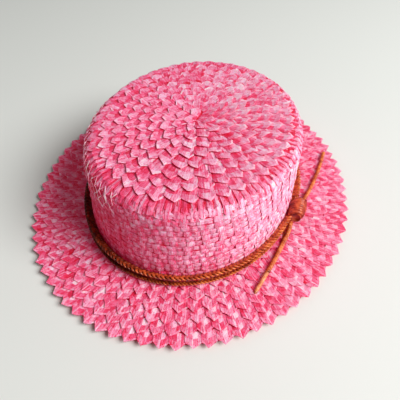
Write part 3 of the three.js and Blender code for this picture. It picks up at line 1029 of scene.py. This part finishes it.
upper_cord = band_cord("band_cord_upper_braid", "band_cord_upper", **UPPER_CORD)
lower_cord = band_cord("band_cord_lower_braid", "band_cord_lower", **LOWER_CORD)

# %% [markdown]
# The knot is the end of the cord wound seven times round everything, pulled tight. It is one tube
# along a helix, with a plain core inside that closes the gaps between the turns.

# %% Knot
KNOT_CENTRE = (0.0907, -0.0060, 0.0103)
KNOT_HALF_DEPTH = 0.0069
KNOT_HALF_HEIGHT = 0.0072
KNOT_LENGTH = 0.022
COILS = 7
COIL_STRAND = 0.0016
KNOT_SLANT = 0.0017
COIL_START = 0.6
COIL_STEPS = 420
COIL_FLAT = 0.9
COIL_SIDES = 12
DRUM_END = 0.86
CORE_INSET = 1.6 * COIL_STRAND
CORE_STEPS = 12
CORE_SHORT = 0.003
CORE_SIDES = 20


def coil_path():
    """A helix on an oval drum. Its middle turns are the fullest, the end turns are drawn in."""
    share = np.linspace(0, 1, COIL_STEPS)
    angle = 2 * np.pi * COILS * share + COIL_START
    full = DRUM_END + (1 - DRUM_END) * np.sin(np.pi * share)
    across = (KNOT_HALF_DEPTH - COIL_STRAND) * full
    tall = (KNOT_HALF_HEIGHT - COIL_STRAND) * full
    along = (share - 0.5) * (KNOT_LENGTH - 2 * COIL_STRAND - 2 * KNOT_SLANT)
    along = along + KNOT_SLANT * np.cos(angle)
    return np.stack([KNOT_CENTRE[0] + across * np.cos(angle), KNOT_CENTRE[1] + along,
                     KNOT_CENTRE[2] + tall * np.sin(angle)], axis=1)


core_along = KNOT_CENTRE[1] + np.linspace(-0.5, 0.5, CORE_STEPS) * (KNOT_LENGTH - CORE_SHORT)
core_path = np.stack([np.full(CORE_STEPS, KNOT_CENTRE[0]), core_along,
                      np.full(CORE_STEPS, KNOT_CENTRE[2])], axis=1)
coil = tube(coil_path(), COIL_STRAND, COIL_STRAND * COIL_FLAT, COIL_SIDES, up=(0, 1, 0))
core = tube(core_path, KNOT_HALF_DEPTH - CORE_INSET, KNOT_HALF_HEIGHT - CORE_INSET, CORE_SIDES)
knot_points, knot_quads = join([coil, core])
knot = mesh_piece("band_knot_coil", knot_points, knot_quads, knot_leather, smooth=True)
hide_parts("band_knot")
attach(knot, "root")

# %% [markdown]
# The stage: a pale floor, one large soft light from the right, as in the photo, and a pale sky. The
# floor reaches past the edges of the picture.

# %% Floor and light
FLOOR_REACH = 3
LIGHT_SIDE, LIGHT_HEIGHT = 0, 43
LIGHT_DISTANCE, LIGHT_SIZE = 2.2, 1.35
LIGHT_WATTS = 54
LIGHT_COLOUR = (1.0, 1.0, 0.985)
SKY_COLOUR = (1.0, 0.99, 0.97, 1.0)
SKY_STRENGTH = 0.21
floor_points = FLOOR_REACH * np.array([(-1, -1, 0), (1, -1, 0), (1, 1, 0), (-1, 1, 0)], float)
floor_paint = bpy.data.materials.new("pale_floor")
floor_nodes = Nodes(floor_paint)
floor_shader = floor_nodes.add("ShaderNodeBsdfPrincipled", {
    "Base Color": linear(221, 223, 220), "Roughness": 0.6, "Specular IOR Level": 0.2})
floor_nodes.add("ShaderNodeOutputMaterial", {"Surface": floor_shader.outputs["BSDF"]})
floor = mesh_piece("floor", floor_points, [[0, 1, 2, 3]], floor_paint)


def add_area(name, azimuth, elevation, distance, size, watts, colour):
    """A round light aimed at the hat. azimuth 0 is +X and 90 is +Y, in degrees."""
    a, e = math.radians(azimuth), math.radians(elevation)
    toward = Vector((math.cos(a) * math.cos(e), math.sin(a) * math.cos(e), math.sin(e)))
    data = bpy.data.lights.new(name, "AREA")
    data.shape = "DISK"
    data.size = size
    data.energy = watts
    data.color = colour
    lamp = bpy.data.objects.new(name, data)
    aim = toward.to_track_quat("Z", "Y").to_matrix().to_4x4()
    lamp.matrix_world = Matrix.Translation(toward * distance) @ aim
    bpy.context.scene.collection.objects.link(lamp)
    return lamp


window_light = add_area("window_light", LIGHT_SIDE, LIGHT_HEIGHT, LIGHT_DISTANCE, LIGHT_SIZE,
                        LIGHT_WATTS, LIGHT_COLOUR)
world = bpy.data.worlds.new("pale_room")
bpy.context.scene.world = world
world.use_nodes = True
sky = world.node_tree.nodes["Background"]
sky.inputs["Color"].default_value = SKY_COLOUR
sky.inputs["Strength"].default_value = SKY_STRENGTH
bpy.context.scene.view_settings.view_transform = "Standard"
bpy.context.scene.view_settings.look = "Medium High Contrast"
